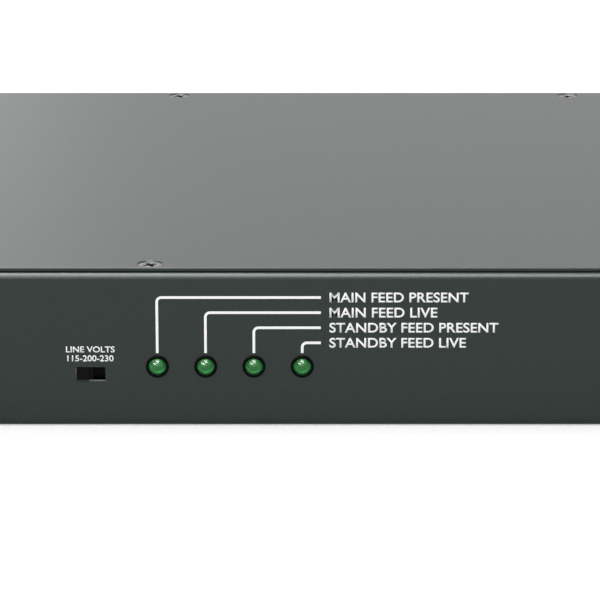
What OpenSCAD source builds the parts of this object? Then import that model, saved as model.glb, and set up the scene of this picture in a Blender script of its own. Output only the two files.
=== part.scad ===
// Rack static transfer switch, one rack unit high. All lengths are in millimetres.
// +X is to the right of someone facing the front panel, +Y goes to the rear and +Z goes up.
// The origin is the middle of the rack slot pattern, on the rear face of the rack ears.

/* [Rack mounting] */
// Width across both rack ears
panel_w = 482.6; // [480:0.1:486]
// Distance from an ear's outer edge to the middle of its slots
slot_inset = 8.75; // [7.8:0.05:9.2]
// Distance between the lower and the upper rack slots
slot_rise = 31.75; // [30:0.05:33]
// Length of one rack slot, end to end
slot_l = 10.3; // [8.5:0.1:11]
// Height of one rack slot
slot_h = 6.8; // [6:0.1:7.4]
// Thickness of the rack ears
ear_t = 2; // [1.6:0.1:2.6]
// Length of the ear's leg along the side of the case
ear_leg = 62; // [56:1:80]

/* [Case] */
// Width of the case between the rack ears
body_w = 440; // [430:1:444]
// Height of the case
body_h = 43.6; // [43:0.1:44.4]
// Depth from the front face to the rear face
body_d = 240; // [230:1:300]
// Thickness of the tray's sheet
tray_t = 1.2; // [1:0.1:1.6]
// Thickness of the cover's sheet
cover_t = 1.2; // [1:0.1:1.5]
// Inside radius of the folds in the sheet
bend_r = 0.6; // [0.4:0.1:1.2]
// Depth of the tray's front and rear lips that carry the cover
lip_d = 14; // [12:0.5:18]
// Height of the tray's side flanges
flange_h = 16; // [14:0.5:18]
// Distance from the front and rear faces to the cover's edges
cover_setback = 2; // [1.8:0.1:4]
// Gap between the tray's side flange and the cover's side
side_gap = 0.2; // [0.1:0.05:0.4]
// Radius along the cover's front and rear top edges
cover_edge_r = 0.4; // [0.2:0.1:0.6]

/* [Side vents] */
// Number of vent slots in each side of the cover
vent_count = 15; // [6:1:18]
// Width of one vent slot
vent_w = 3; // [2:0.1:3.4]
// Height of one vent slot
vent_h = 17; // [10:0.5:19]
// Distance from one vent slot to the next
vent_pitch = 7; // [6:0.5:8]

/* [Countersunk screws] */
// Diameter of the countersunk head
head_d = 7.1; // [6.6:0.1:7.6]
// Diameter of the screw's shank
screw_d = 4; // [3.4:0.1:4.4]
// Length of the screw, head included
screw_l = 7; // [6:0.5:8]
// Distance from the case's middle to the outer cover screws
cover_screw_x = 130; // [100:1:180]
// Distance from a cover screw to the cover's front or rear edge
cover_screw_y = 4.5; // [4.4:0.1:6]

/* [Indicator lamps] */
// Number of lamps in the row
lamp_count = 4; // [2:1:4]
// Distance from the case's left side to the first lamp
lamp_inset = 92; // [90:0.5:96]
// Distance from one lamp to the next
lamp_pitch = 13; // [11:0.1:14]
// Height of the lamps, measured from the case's middle
lamp_z = -5.1; // [-6:0.1:-4]
// Diameter of the lamp's lens
lens_d = 5; // [4.6:0.1:5.2]
// Diameter of the black ring around the lamp
collar_d = 6.2; // [6:0.1:6.8]
// Height of the ring above the panel
collar_h = 0.5; // [0.3:0.1:0.8]
// Distance from the front face to the indicator board
board_gap = 6.4; // [6:0.1:7]
// Thickness of the circuit boards
pcb_t = 1.6; // [1.2:0.1:2]

/* [Printed leader lines] */
// Width of the printed lines
line_w = 0.7; // [0.4:0.1:1]
// Height of the uppermost line, measured from the case's middle
line_z = 14.1; // [13:0.1:16]
// Distance from one line down to the next
line_pitch = 4.2; // [4:0.1:4.6]
// Length of the last lamp's line, to the right of the lamp
line_end = 5; // [3:0.5:8]
// Radius where a line turns
line_r = 1.25; // [0.8:0.05:2]
// Distance from a lamp's middle up to its line
line_lift = 3.75; // [3.6:0.05:4.2]
// Thickness of the ink
ink_t = 0.1; // [0.05:0.05:0.2]

/* [Voltage selector] */
// Distance from the case's left side to the middle of the selector's slot
selector_inset = 74; // [72:0.5:76]
// Height of the selector, measured from the case's middle
selector_z = -7.4; // [-8:0.1:-6.6]
// Width of the slot in the panel
selector_w = 8.2; // [7.6:0.1:9]
// Height of the slot in the panel
selector_h = 4.2; // [3.8:0.1:4.8]
// Width of the sliding knob
knob_w = 3.4; // [2.8:0.1:3.8]
// Distance from the panel's face back to the knob's face
knob_recess = 0.5; // [0.3:0.1:0.8]

/* [Power inlets and outlets] */
// Distance from the case's right side to inlet A
inlet_inset = 45; // [44:1:48]
// Distance from inlet A to inlet B
inlet_pitch = 68; // [64:1:70]
// Width of the inlet's flange
inlet_w = 60; // [58:1:62]
// Height of the inlet's flange
inlet_h = 30; // [28:0.5:32]
// Distance between the inlet's two screws
inlet_screw_span = 50; // [48:0.5:51]
// Number of outlets
outlet_count = 6; // [2:1:6]
// Distance from the case's left side to the first outlet
outlet_inset = 54; // [50:1:58]
// Distance from one outlet to the next
outlet_pitch = 34; // [33:0.5:34.5]
// Depth of the socket in inlets and outlets
socket_depth = 17; // [14:0.5:18]
// Thickness of the inlet's and outlet's flange
socket_flange = 2.4; // [2:0.1:3]

/* [Circuit breakers and earth stud] */
// Distance from the case's right side to breaker A
breaker_inset = 162; // [160:1:166]
// Distance from breaker A to breaker B
breaker_pitch = 24; // [21:0.5:26]
// Diameter of the breaker's threaded neck
neck_d = 9.5; // [9:0.1:10]
// Diameter of the breaker's button
button_d = 6.5; // [6:0.1:6.8]
// Distance that the button comes out when the breaker trips
button_travel = 4; // [3:0.1:5]
// Diameter of the earth stud
stud_d = 4; // [3.4:0.1:5]
// Distance from the case's left side to the earth stud
stud_inset = 20; // [17:1:24]

/* [Power stage] */
// Width of the heat sink
sink_w = 156; // [140:1:160]
// Length of the heat sink from front to rear
sink_l = 130; // [120:1:140]
// Height of the heat sink
sink_h = 28; // [24:0.5:30]
// Thickness of the heat sink's base
sink_base = 5; // [4.5:0.1:6]
// Thickness of a fin
fin_t = 2; // [1.6:0.1:2.4]
// Distance from one fin to the next
fin_pitch = 6; // [5.5:0.1:7]
// Width of the flat strip that carries the thyristor modules
sink_flat = 60; // [58:0.5:66]
// Length of a thyristor module
module_l = 61; // [58:0.5:64]
// Width of a thyristor module
module_w = 20.5; // [19:0.5:22]
// Height of a thyristor module
module_h = 24; // [22:0.5:25]

/* [Control board] */
// Width of the control board
control_w = 140; // [135:1:144]
// Length of the control board from front to rear
control_l = 115; // [112:1:118]
// Height of the spacers under the control board
standoff_h = 6; // [5:0.5:8]
// Height of the control transformers
transformer_h = 22; // [20:0.5:24]

/* [Clearances] */
// Gap around a screw in its thread
thread_gap = 0.05; // [0.03:0.01:0.1]
// Gap around a screw in a plain hole
hole_gap = 0.25; // [0.15:0.05:0.4]
// Gap around a piece that passes through a cut-out in the panel
panel_gap = 0.2; // [0.1:0.05:0.3]
// Gap around a piece that slides
slide_gap = 0.15; // [0.1:0.01:0.2]

/* [Hidden] */
$fn = 48;
past = 1; // how far a cut runs past the surface that it opens

// The case's faces
x_side = body_w / 2;
y_front = -ear_t;
y_rear = y_front + body_d;
z_top = body_h / 2;
z_floor = -body_h / 2;
floor_top = z_floor + tray_t;
lip_top = z_top - cover_t;
fold_r = bend_r + tray_t;
tray_x = x_side - cover_t - side_gap;
lip_under = lip_top - tray_t;

side_fold_gap = 0.6; // between a wall's lower corner and the side fold below it
fold_relief = 2; // from a wall to the end of a side flange
end_z0 = z_floor + fold_r + side_fold_gap;
end_z1 = lip_top - fold_r;

// Countersunk screws and their nuts
cone_h = (head_d - screw_d) / 2;
nut_d = 8;
nut_h = 3;
cover_screw_xs = [-cover_screw_x, 0, cover_screw_x];
cover_screw_ys = [y_front + cover_setback + cover_screw_y, y_rear - cover_setback - cover_screw_y];
side_screw_z = z_floor + flange_h / 2;
side_screw_ys = [for (i = [1:3]) y_front + ear_leg + 12 + i * (body_d - ear_leg - 30) / 3];
ear_screw_ys = [15, ear_leg - 15];
ear_corner = 8;
ear_screw_zs = [side_screw_z, -side_screw_z];

// Indicator lamps and the board behind them
lamp_xs = [for (i = [0:lamp_count - 1]) -x_side + lamp_inset + i * lamp_pitch];
collar_wall = 0.4;
collar_bore_r = lens_d / 2 + 0.075;
collar_barrel_r = collar_bore_r + collar_wall;
collar_hole_r = collar_barrel_r + 0.05;
board_x0 = -x_side + selector_inset - 12;
board_x1 = lamp_xs[lamp_count - 1] + 10;
board_z0 = -18;
board_z1 = 8;
board_front = y_front + board_gap;
board_rear = board_front + pcb_t;
board_corner = 3;
spacer_d = 5;
small_screw_d = 3;
lead_x = 1.27;
lead_w = 0.5;

// Voltage selector
selector_x = -x_side + selector_inset;
knob_gap = 0.3;
knob_h = selector_h - 2 * knob_gap;
knob_x = -selector_w / 2 + knob_gap + knob_w / 2;
knob_travel = selector_w - 2 * knob_gap - knob_w;
frame_t = 0.4;
frame_front = tray_t + 0.2;
selector_body_w = 18;
selector_body_h = 7;
frame_leg_w = 14;
shoe_w = knob_w + 2;
shoe_h = knob_h + 1;
shoe_t = 1.4;

// Inlets and outlets
inlet_xs = [x_side - inlet_inset, x_side - inlet_inset - inlet_pitch];
inlet_body = [33, 24.5];
inlet_cavity = [29.5, 21];
inlet_body_d = socket_depth + 8;
pin_w = 8;
pin_t = 2;
pin_tip = 3;
pin_places = [[0, 3.5], [-6.5, -3.5], [6.5, -3.5]];
tab_w = 6.3;
tab_t = 0.8;
tab_l = 8;
outlet_xs = [for (i = [0:outlet_count - 1]) -x_side + outlet_inset + i * outlet_pitch];
outlet_face = [31, 24];
outlet_body = [26.6, 19.8];
outlet_groove = [24.6, 17];
outlet_island = [19.4, 11.8];
outlet_body_d = socket_depth + 10;
groove_floor = socket_flange - socket_depth;
contact_places = [[0, 2.2], [-6.5, -2.2], [6.5, -2.2]];
contact_slot = [2.5, 5.5];
contact_w = tab_w - 1;
contact_reach = 1.6; // how far the contacts stand up into their slots
latch_w = 8;
latch_l = 6;
latch_out = 1.4;

// Breakers
breaker_xs = [x_side - breaker_inset, x_side - breaker_inset - breaker_pitch];
breaker_body = [15, 34];
breaker_body_d = 28;
neck_l = 5.5;
button_l = 7.5;
button_r = button_d / 2;
bore_r = button_r + slide_gap;
collar_r = button_r + 0.9;
chamber_deep = 20;
chamber_front = 9;

// Power stage
sink_x = inlet_xs[1] + 3;
sink_y = 20;
sink_top = floor_top + sink_base;
fins_each_side = floor((sink_w - sink_flat) / 2 / fin_pitch);
module_xs = [sink_x - sink_flat / 4, sink_x + sink_flat / 4];
module_y = sink_y + sink_l / 2;
module_top = sink_top + module_h;
module_foot = 9;
module_hole_y = module_l / 2 - 4.5;
module_body_l = module_l - 18;
terminal_ys = [-14, 0, 14];
terminal_pocket = 1.5;
sink_thread = 4; // depth of the threaded holes in the heat sink
module_thread = 3.5;
thread_end = 0.3; // from a screw's end to the end of its hole
sink_screw_xs = [sink_x - sink_flat / 2 + 5, sink_x + sink_flat / 2 - 5];
sink_screw_ys = [sink_y + 12, sink_y + sink_l - 12];

// Control board
control_x0 = -x_side + 60;
control_y0 = 25;
control_z = floor_top + standoff_h;
control_top = control_z + pcb_t;
standoff_d = 6;
standoff_xs = [control_x0 + 5, control_x0 + control_w / 2, control_x0 + control_w - 5];
standoff_ys = [control_y0 + 5, control_y0 + control_l - 5];
sheet_t = 0.5;
transformer_x = control_x0 + 28;
transformer_ys = [control_y0 + 35, control_y0 + 75];
core_w = 32;
core_t = 12;
coil_w = 18;
coil_l = 27;
coil_gap = 2; // from the board up to the winding
coil_sunk = 4; // from the core's top down to the winding
can_r = 5;
can_h = 16;
can_pitch = 13;
can_xs = [for (i = [0:5]) control_x0 + 62 + i * can_pitch];
can_y = control_y0 + control_l - 22;
processor = [18, 18, 2.2];
processor_place = [control_x0 + 64, control_y0 + 34];
relay = [7, 18, 3];
relay_place = [control_x0 + 92, control_y0 + 24];
relay_pitch = 11;
driver = [9, 9, 2];
driver_place = [control_x0 + 96, control_y0 + 54];
driver_pitch = 13;
block_ways = 8;
block_pitch = 7.5;
block_place = [control_x0 + 56, control_y0 + 8];
block_l = 11; // length at its foot
block_h = 13;
block_shoulder = 9; // height where its slopes begin
block_slope = 3;
block_screw_d = 4;
block_screw_h = 5;
block_mouth = [4.4, 5, 4.5]; // entry for a wire
block_sill = 2;
plug_w = 14;
plug_t = 6;
plug_h = 8;
plug_x = (board_x0 + board_x1) / 2;
plug_z = 4;
plug_y = control_y0 + 12;
ribbon_w = 11;
ribbon_t = 0.9;
ribbon_bend = 4;
wire_d = 3.2;
wire_bend = 4;
wire_spread = 5.5;
wire_lane = 8;

// ---- Outlines and placing ----

// Rectangle with rounded corners from corner a to corner b
module round_rect(a, b, r) {
    translate([a.x + r, a.y]) square([b.x - a.x - 2 * r, b.y - a.y]);
    translate([a.x, a.y + r]) square([b.x - a.x, b.y - a.y - 2 * r]);
    for (x = [a.x + r, b.x - r], y = [a.y + r, b.y - r]) translate([x, y]) circle(r);
}

// Rounded rectangle about the middle
module centred_rect(size, r) {
    round_rect(-size / 2, size / 2, r);
}

// Rectangle about the middle with its two upper corners cut off
module keyed_rect(size, cut) {
    x = size.x / 2;
    y = size.y / 2;
    polygon([[-x, -y], [x, -y], [x, y - cut], [x - cut, y], [-x + cut, y], [-x, y - cut]]);
}

// Slot with round ends, lying along its first axis
module obround(l, w) {
    square([l - w, w], center = true);
    for (s = [-1, 1]) translate([s * (l - w) / 2, 0]) circle(w / 2);
}

// Draws a (Y, Z) outline from x0 to x1
module along_x(x0, x1) {
    translate([x0, 0, 0]) rotate([90, 0, 90]) linear_extrude(x1 - x0) children();
}

// Draws an (X, Z) outline from y0 to y1
module along_y(y0, y1) {
    translate([0, y1, 0]) rotate([90, 0, 0]) linear_extrude(y1 - y0) children();
}

// Draws an (X, Y) outline from z0 to z1
module along_z(z0, z1) {
    translate([0, 0, z0]) linear_extrude(z1 - z0) children();
}

// Places things on the front face: local z points out of the panel and local y points up
module on_front(x, z) {
    translate([x, y_front, z]) rotate([90, 0, 0]) children();
}

// Places things on the rear face: local z points out of the panel and local y points up
module on_rear(x, z) {
    translate([x, y_rear, z]) rotate([90, 0, 180]) children();
}

module at_cover_screws() {
    for (x = cover_screw_xs, y = cover_screw_ys) translate([x, y, z_top]) children();
}

module at_side_screws() {
    for (s = [-1, 1], y = side_screw_ys)
        translate([s * x_side, y, side_screw_z]) rotate([0, s * 90, 0]) children();
}

module at_ear_screws(s, zs = ear_screw_zs) {
    for (y = ear_screw_ys, z = zs)
        translate([s * (x_side + ear_t), y, z]) rotate([0, s * 90, 0]) children();
}

module at_sink_screws() {
    for (x = sink_screw_xs, y = sink_screw_ys) translate([x, y, z_floor]) rotate([180, 0, 0]) children();
}

// ---- Screws, nuts and wires ----

// Cross recess, sunk from z = 0
module cross_recess(width, depth) {
    for (a = [45, 135]) rotate(a)
        translate([-width / 2, -width / 8, -depth]) cube([width, width / 4, depth + past]);
    translate([0, 0, -depth]) cylinder(h = depth + past, d1 = width / 4, d2 = width * 0.6);
}

// Countersunk screw: the top of its head is at z = 0 and it points down
module countersunk_screw(length = screw_l) {
    difference() {
        union() {
            translate([0, 0, -cone_h]) cylinder(h = cone_h, d1 = screw_d, d2 = head_d);
            translate([0, 0, -length]) cylinder(h = length - cone_h, d = screw_d);
        }
        cross_recess(head_d * 0.56, cone_h * 0.9);
    }
}

// Seat for a countersunk head, cut down from z = 0, with a hole of its own diameter below it
module countersunk_hole(depth, d = screw_d + 2 * hole_gap) {
    translate([0, 0, -cone_h]) cylinder(h = cone_h, d1 = screw_d, d2 = head_d);
    cylinder(h = past, d = head_d);
    translate([0, 0, -depth]) cylinder(h = depth, d = d);
}

// Round nut pressed into the sheet, from z = 0 down
module clinch_nut() {
    difference() {
        translate([0, 0, -nut_h]) cylinder(h = nut_h, d = nut_d);
        translate([0, 0, -nut_h - past]) cylinder(h = nut_h + 2 * past, d = screw_d + 2 * thread_gap);
    }
}

// Screw with a low round head that stands on z = 0 and points down
module pan_screw(d, length) {
    difference() {
        union() {
            rotate_extrude() difference() {
                union() {
                    square([d * 0.9, d * 0.3]);
                    translate([0, d * 0.3]) square([d * 0.6, d * 0.3]);
                    translate([d * 0.6, d * 0.3]) circle(d * 0.3);
                }
                translate([-d, -d]) square([d, 3 * d]);
                translate([0, -d]) square([d, d]);
            }
            translate([0, 0, -length]) cylinder(h = length, d = d);
        }
        translate([0, 0, d * 0.6]) cross_recess(d * 0.9, d * 0.35);
    }
}

// Hexagonal nut that stands on z = 0
module hex_nut(across_flats, height, bore_d) {
    difference() {
        cylinder(h = height, d = across_flats / cos(30), $fn = 6);
        translate([0, 0, -past]) cylinder(h = height + 2 * past, d = bore_d);
    }
}

// Direction from point a to point b
function toward(a, b) = (b - a) / norm(b - a);

// Round wire through the points, all square turns, with elbows of radius r
module wire(points, d, r) {
    last = len(points) - 1;
    for (i = [0:last - 1]) {
        u = toward(points[i], points[i + 1]);
        a = points[i] + u * (i > 0 ? r : 0);
        b = points[i + 1] - u * (i < last - 1 ? r : 0);
        translate(a) rotate([0, acos(u.z), atan2(u.y, u.x)]) cylinder(h = norm(b - a), d = d);
    }
    for (i = [1:last - 1]) {
        u = toward(points[i - 1], points[i]);
        v = toward(points[i], points[i + 1]);
        w = cross(u, v);
        c = points[i] + (v - u) * r;
        multmatrix([
            [-v.x, u.x, w.x, c.x],
            [-v.y, u.y, w.y, c.y],
            [-v.z, u.z, w.z, c.z],
            [0, 0, 0, 1]
        ]) rotate_extrude(angle = 90) translate([r, 0]) circle(d / 2);
    }
}

// ---- Case ----

// Section through the tray from front to rear: floor, walls and the two lips
module tray_section() {
    difference() {
        round_rect([y_front, z_floor], [y_rear, lip_top], fold_r);
        round_rect([y_front + tray_t, floor_top], [y_rear - tray_t, lip_under], bend_r);
        translate([y_front + lip_d, lip_under - past])
            square([body_d - 2 * lip_d, tray_t + 2 * past]);
    }
}

// Section through the fold between the floor and the right side flange
module side_flange_section() {
    inner = tray_x - fold_r;
    difference() {
        union() {
            translate([inner, z_floor]) square([fold_r - tray_t, tray_t]);
            translate([tray_x - tray_t, z_floor + fold_r]) square([tray_t, flange_h - fold_r]);
            intersection() {
                translate([inner, z_floor + fold_r]) circle(fold_r);
                translate([inner, z_floor]) square(fold_r);
            }
        }
        translate([inner, z_floor + fold_r]) circle(bend_r);
    }
}

// The front and rear walls run on to the case's sides, without the folds above and below them
module tray_sheet() {
    relief = fold_r + fold_relief;
    along_x(-tray_x + fold_r, tray_x - fold_r) tray_section();
    for (s = [0, 1]) mirror([s, 0, 0]) {
        along_y(y_front + relief, y_rear - relief) side_flange_section();
        for (y = [y_front, y_rear - tray_t]) translate([tray_x - fold_r, y, end_z0])
            cube([x_side - tray_x + fold_r, tray_t, end_z1 - end_z0]);
    }
}

module front_cutouts() {
    for (x = lamp_xs) on_front(x, lamp_z)
        translate([0, 0, -tray_t - past]) cylinder(h = tray_t + 2 * past, r = collar_hole_r);
    on_front(selector_x, selector_z) translate([0, 0, -tray_t - past])
        linear_extrude(tray_t + 2 * past) centred_rect([selector_w, selector_h], 0.4);
}

module rear_cutouts() {
    deep = tray_t + past;
    for (x = inlet_xs) on_rear(x, 0) {
        along_z(-deep, past)
            centred_rect(inlet_body + 2 * panel_gap * [1, 1], 1.5 + panel_gap);
        for (s = [-1, 1]) translate([s * inlet_screw_span / 2, 0, -deep])
            cylinder(h = deep + past, d = screw_d + 2 * hole_gap);
    }
    for (x = outlet_xs) on_rear(x, 0)
        along_z(-deep, past) centred_rect(outlet_body + 2 * panel_gap * [1, 1], 0.8);
    for (x = breaker_xs) on_rear(x, 0)
        translate([0, 0, -deep]) cylinder(h = deep + past, d = neck_d + 2 * panel_gap);
    on_rear(-x_side + stud_inset, 0)
        translate([0, 0, -deep]) cylinder(h = deep + past, d = stud_d + 2 * thread_gap);
}

module floor_cutouts() {
    for (x = standoff_xs, y = standoff_ys) translate([x, y, z_floor - past])
        cylinder(h = tray_t + 2 * past, d = standoff_d - 1 + 2 * thread_gap);
    at_sink_screws() countersunk_hole(tray_t + past);
}

module chassis_tray() {
    color([0.22, 0.24, 0.25]) difference() {
        tray_sheet();
        front_cutouts();
        rear_cutouts();
        floor_cutouts();
        at_cover_screws() countersunk_hole(cover_t + tray_t + past);
        at_side_screws() countersunk_hole(cover_t + side_gap + tray_t + past);
        for (s = [-1, 1]) at_ear_screws(s, [side_screw_z])
            countersunk_hole(ear_t + cover_t + side_gap + tray_t + past);
    }
}

// Cover's cross-section: a wide channel, open downwards
module cover_section() {
    outer = bend_r + cover_t;
    low = z_floor + 0.3;
    difference() {
        round_rect([-x_side, low - 2 * outer], [x_side, z_top], outer);
        round_rect([-x_side + cover_t, low - 3 * outer], [x_side - cover_t, lip_top], bend_r);
        translate([-x_side, low - 2 * outer]) square([body_w, 2 * outer]);
    }
}

// Outline, in Y and Z, of what is trimmed off the cover's front top and bottom edges
module cover_edge_trim() {
    translate([0, z_top - cover_edge_r]) difference() {
        translate([-past, 0]) square([past + cover_edge_r, cover_edge_r + past]);
        translate([cover_edge_r, 0]) circle(cover_edge_r);
    }
    chamfer = 0.3;
    polygon([[-past, lip_top - past], [0, lip_top - past], [0, lip_top], [chamfer, lip_top],
             [0, lip_top + chamfer], [-past, lip_top + chamfer]]);
}

module top_cover() {
    y0 = y_front + cover_setback;
    y1 = y_rear - cover_setback;
    vents_y = side_screw_ys[0] + (side_screw_ys[2] - side_screw_ys[0]) / 2;
    vents_z = z_floor + flange_h + 3 + vent_h / 2;
    color([0.24, 0.26, 0.27]) difference() {
        along_y(y0, y1) cover_section();
        along_x(-x_side - past, x_side + past) {
            translate([y0, 0]) cover_edge_trim();
            translate([y1, 0]) mirror([1, 0]) cover_edge_trim();
            for (i = [0:vent_count - 1])
                translate([vents_y + (i - (vent_count - 1) / 2) * vent_pitch, vents_z])
                    rotate(90) obround(vent_h, vent_w);
        }
        at_cover_screws() countersunk_hole(cover_t + past);
        at_side_screws() countersunk_hole(cover_t + past);
        for (s = [-1, 1]) at_ear_screws(s) countersunk_hole(ear_t + cover_t + past);
    }
}

// Right rack ear: a flange with two slots, folded back into a leg along the case's side
module ear() {
    inner_r = 0.8;
    outer_r = inner_r + ear_t;
    leg_x = x_side + ear_t;
    difference() {
        along_z(z_floor, z_top) {
            translate([x_side + outer_r, -ear_t])
                square([panel_w / 2 - x_side - outer_r, ear_t]);
            translate([x_side, inner_r]) square([ear_t, ear_leg - inner_r]);
            difference() {
                intersection() {
                    translate([x_side + outer_r, inner_r]) circle(outer_r);
                    translate([x_side, -ear_t]) square(outer_r);
                }
                translate([x_side + outer_r, inner_r]) circle(inner_r);
            }
        }
        along_y(-ear_t - past, past) for (s = [-1, 1])
            translate([panel_w / 2 - slot_inset, s * slot_rise / 2]) obround(slot_l, slot_h);
        along_x(leg_x - ear_t - past, leg_x + past) for (s = [-1, 1])
            translate([ear_leg, s * body_h / 2]) rotate(45) square(ear_corner, center = true);
        at_ear_screws(1) countersunk_hole(ear_t + past);
    }
}

module right_ear() { color([0.22, 0.24, 0.25]) ear(); }
module left_ear() { color([0.22, 0.24, 0.25]) mirror([1, 0, 0]) ear(); }

module cover_screws() { color([0.35, 0.36, 0.36]) at_cover_screws() countersunk_screw(); }
module side_screws() { color([0.35, 0.36, 0.36]) at_side_screws() countersunk_screw(); }

module ear_screws() {
    color([0.35, 0.36, 0.36]) for (s = [-1, 1]) at_ear_screws(s) countersunk_screw(screw_l + ear_t);
}

// Nuts pressed under the lips and inside the sides
module clinch_nuts() {
    wall = cover_t + side_gap + tray_t;
    color("silver") {
        at_cover_screws() translate([0, 0, -cover_t - tray_t]) clinch_nut();
        at_side_screws() translate([0, 0, -wall]) clinch_nut();
        for (s = [-1, 1]) {
            at_ear_screws(s, [ear_screw_zs[0]]) translate([0, 0, -ear_t - wall]) clinch_nut();
            at_ear_screws(s, [ear_screw_zs[1]]) translate([0, 0, -ear_t - cover_t]) clinch_nut();
        }
    }
}

// ---- Indicator lamps ----

module lamp(i) {
    lens_r = lens_d / 2;
    dome_z = -0.2;
    rim_r = lens_r + 0.4;
    rim_t = 1;
    color([0.1, 0.6, 0.2]) on_front(lamp_xs[i], lamp_z) {
        rotate_extrude() intersection() {
            union() {
                translate([0, dome_z]) circle(lens_r);
                translate([0, -board_gap]) square([lens_r, board_gap + dome_z]);
                translate([0, -board_gap]) square([rim_r, rim_t]);
            }
            translate([0, -board_gap]) square([2 * lens_r, board_gap + 2 * lens_r]);
        }
        for (s = [-1, 1])
            translate([s * lead_x - lead_w / 2, -lead_w / 2, -board_gap - pcb_t - 2])
                cube([lead_w, lead_w, pcb_t + 2]);
    }
}

module lamp_collar(i) {
    round_r = collar_h / 2;
    lip_r = collar_d / 2;
    barb_r = collar_hole_r + 0.2;
    color([0.04, 0.04, 0.04]) on_front(lamp_xs[i], lamp_z) rotate_extrude() {
        translate([collar_bore_r, 0]) square([lip_r - round_r - collar_bore_r, collar_h]);
        translate([lip_r - round_r, round_r]) circle(round_r);
        translate([collar_bore_r, -3.5]) square([collar_wall, 3.5]);
        translate([collar_bore_r, -tray_t - 0.6]) square([barb_r - collar_bore_r, 0.6]);
    }
}

module at_board_corners() {
    for (x = [board_x0 + board_corner, board_x1 - board_corner],
         z = [board_z0 + board_corner, board_z1 - board_corner]) on_front(x, z) children();
}

module indicator_board() {
    color([0.05, 0.3, 0.15]) difference() {
        along_y(board_front, board_rear) difference() {
            round_rect([board_x0, board_z0], [board_x1, board_z1], 1);
            for (x = lamp_xs, s = [-1, 1])
                translate([x + s * lead_x, lamp_z]) circle(lead_w / 2 * sqrt(2) + 0.1);
        }
        at_board_corners() translate([0, 0, -board_gap - pcb_t - past])
            cylinder(h = pcb_t + 2 * past, d = small_screw_d + 2 * hole_gap);
    }
}

// Threaded spacers between the front wall and the indicator board
module board_spacers() {
    color("silver") at_board_corners() translate([0, 0, -board_gap]) difference() {
        cylinder(h = board_gap - tray_t, d = spacer_d);
        translate([0, 0, -past])
            cylinder(h = board_gap - tray_t - 1 + past, d = small_screw_d + 2 * thread_gap);
    }
}

module indicator_screws() {
    color("silver") at_board_corners()
        translate([0, 0, -board_gap - pcb_t]) rotate([180, 0, 0]) pan_screw(small_screw_d, pcb_t + 3.5);
}

// One printed line: up from its lamp, round a corner and across to the lettering
module leader_line(x, z0, z1, x1) {
    translate([x - line_w / 2, z0]) square([line_w, z1 - line_r - z0]);
    translate([x + line_r, z1 - line_w / 2]) square([x1 - x - line_r, line_w]);
    intersection() {
        translate([x + line_r, z1 - line_r]) difference() {
            circle(line_r + line_w / 2);
            circle(line_r - line_w / 2);
        }
        translate([x - line_w, z1 - line_r]) square(line_r + line_w);
    }
}

module panel_print() {
    x_end = lamp_xs[lamp_count - 1] + line_end;
    color("white") on_front(0, 0) linear_extrude(ink_t) for (i = [0:lamp_count - 1])
        leader_line(lamp_xs[i], lamp_z + line_lift, line_z - i * line_pitch, x_end);
}

// ---- Voltage selector ----

// Moulded housing: its cavity holds the slider's shoe over the whole travel
module selector_body() {
    front = frame_front + frame_t;
    cavity_w = shoe_w + knob_travel + 2 * slide_gap;
    color([0.08, 0.08, 0.08]) on_front(selector_x, selector_z) difference() {
        along_z(-board_gap, -front) square([selector_body_w - 2, selector_body_h - 2 * frame_t], center = true);
        translate([-cavity_w / 2, -shoe_h / 2 - slide_gap, -front - shoe_t - 2 * slide_gap])
            cube([cavity_w, shoe_h + 2 * slide_gap, shoe_t + 2 * slide_gap + past]);
    }
}

// Folded metal frame over the housing, with the window that the knob moves in
module selector_frame() {
    color("silver") on_front(selector_x, selector_z) {
        along_z(-frame_front - frame_t, -frame_front) difference() {
            square([selector_body_w, selector_body_h], center = true);
            square([selector_w - 0.2, knob_h + 0.2], center = true);
        }
        for (s = [-1, 1])
            translate([-frame_leg_w / 2, s * (selector_body_h - frame_t) / 2 - frame_t / 2, -board_gap])
                cube([frame_leg_w, frame_t, board_gap - frame_front - frame_t]);
    }
}

module selector_slider() {
    shoe_front = frame_front + frame_t + slide_gap;
    ridge = 0.35;
    color([0.12, 0.12, 0.12]) on_front(selector_x + knob_x, selector_z) {
        along_z(-shoe_front - shoe_t, -shoe_front) square([shoe_w, shoe_h], center = true);
        along_z(-shoe_front, -knob_recess) difference() {
            square([knob_w, knob_h - 0.1], center = true);
            for (s = [-1, 1]) translate([s * knob_w / 2, 0]) circle(0.15);
        }
        for (x = [-knob_w / 3, 0, knob_w / 3])
            translate([x - ridge / 2, -knob_h / 2 + 0.4, -knob_recess]) cube([ridge, knob_h - 0.8, 0.25]);
    }
}

// ---- Power inlets and outlets ----

module power_inlet(x) {
    color([0.06, 0.06, 0.06]) on_rear(x, 0) difference() {
        union() {
            along_z(0, socket_flange) centred_rect([inlet_w, inlet_h], 4);
            along_z(-inlet_body_d, 0) centred_rect(inlet_body, 1.5);
        }
        along_z(groove_floor, socket_flange + past) keyed_rect(inlet_cavity, 2);
        for (p = pin_places) translate([p.x, p.y, -inlet_body_d - past])
            linear_extrude(inlet_body_d) square([pin_w, pin_t], center = true);
        for (s = [-1, 1]) translate([s * inlet_screw_span / 2, 0, socket_flange])
            countersunk_hole(socket_flange + past);
    }
}

// Flat pins with their solder tabs behind
module inlet_pins() {
    color([0.75, 0.72, 0.6]) for (x = inlet_xs, p = pin_places) on_rear(x, 0) translate([p.x, p.y, 0]) {
        along_z(-inlet_body_d, socket_flange - pin_tip) centred_rect([pin_w, pin_t], 0.4);
        along_z(-inlet_body_d - tab_l, -inlet_body_d) square([tab_w, tab_t], center = true);
    }
}

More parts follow.
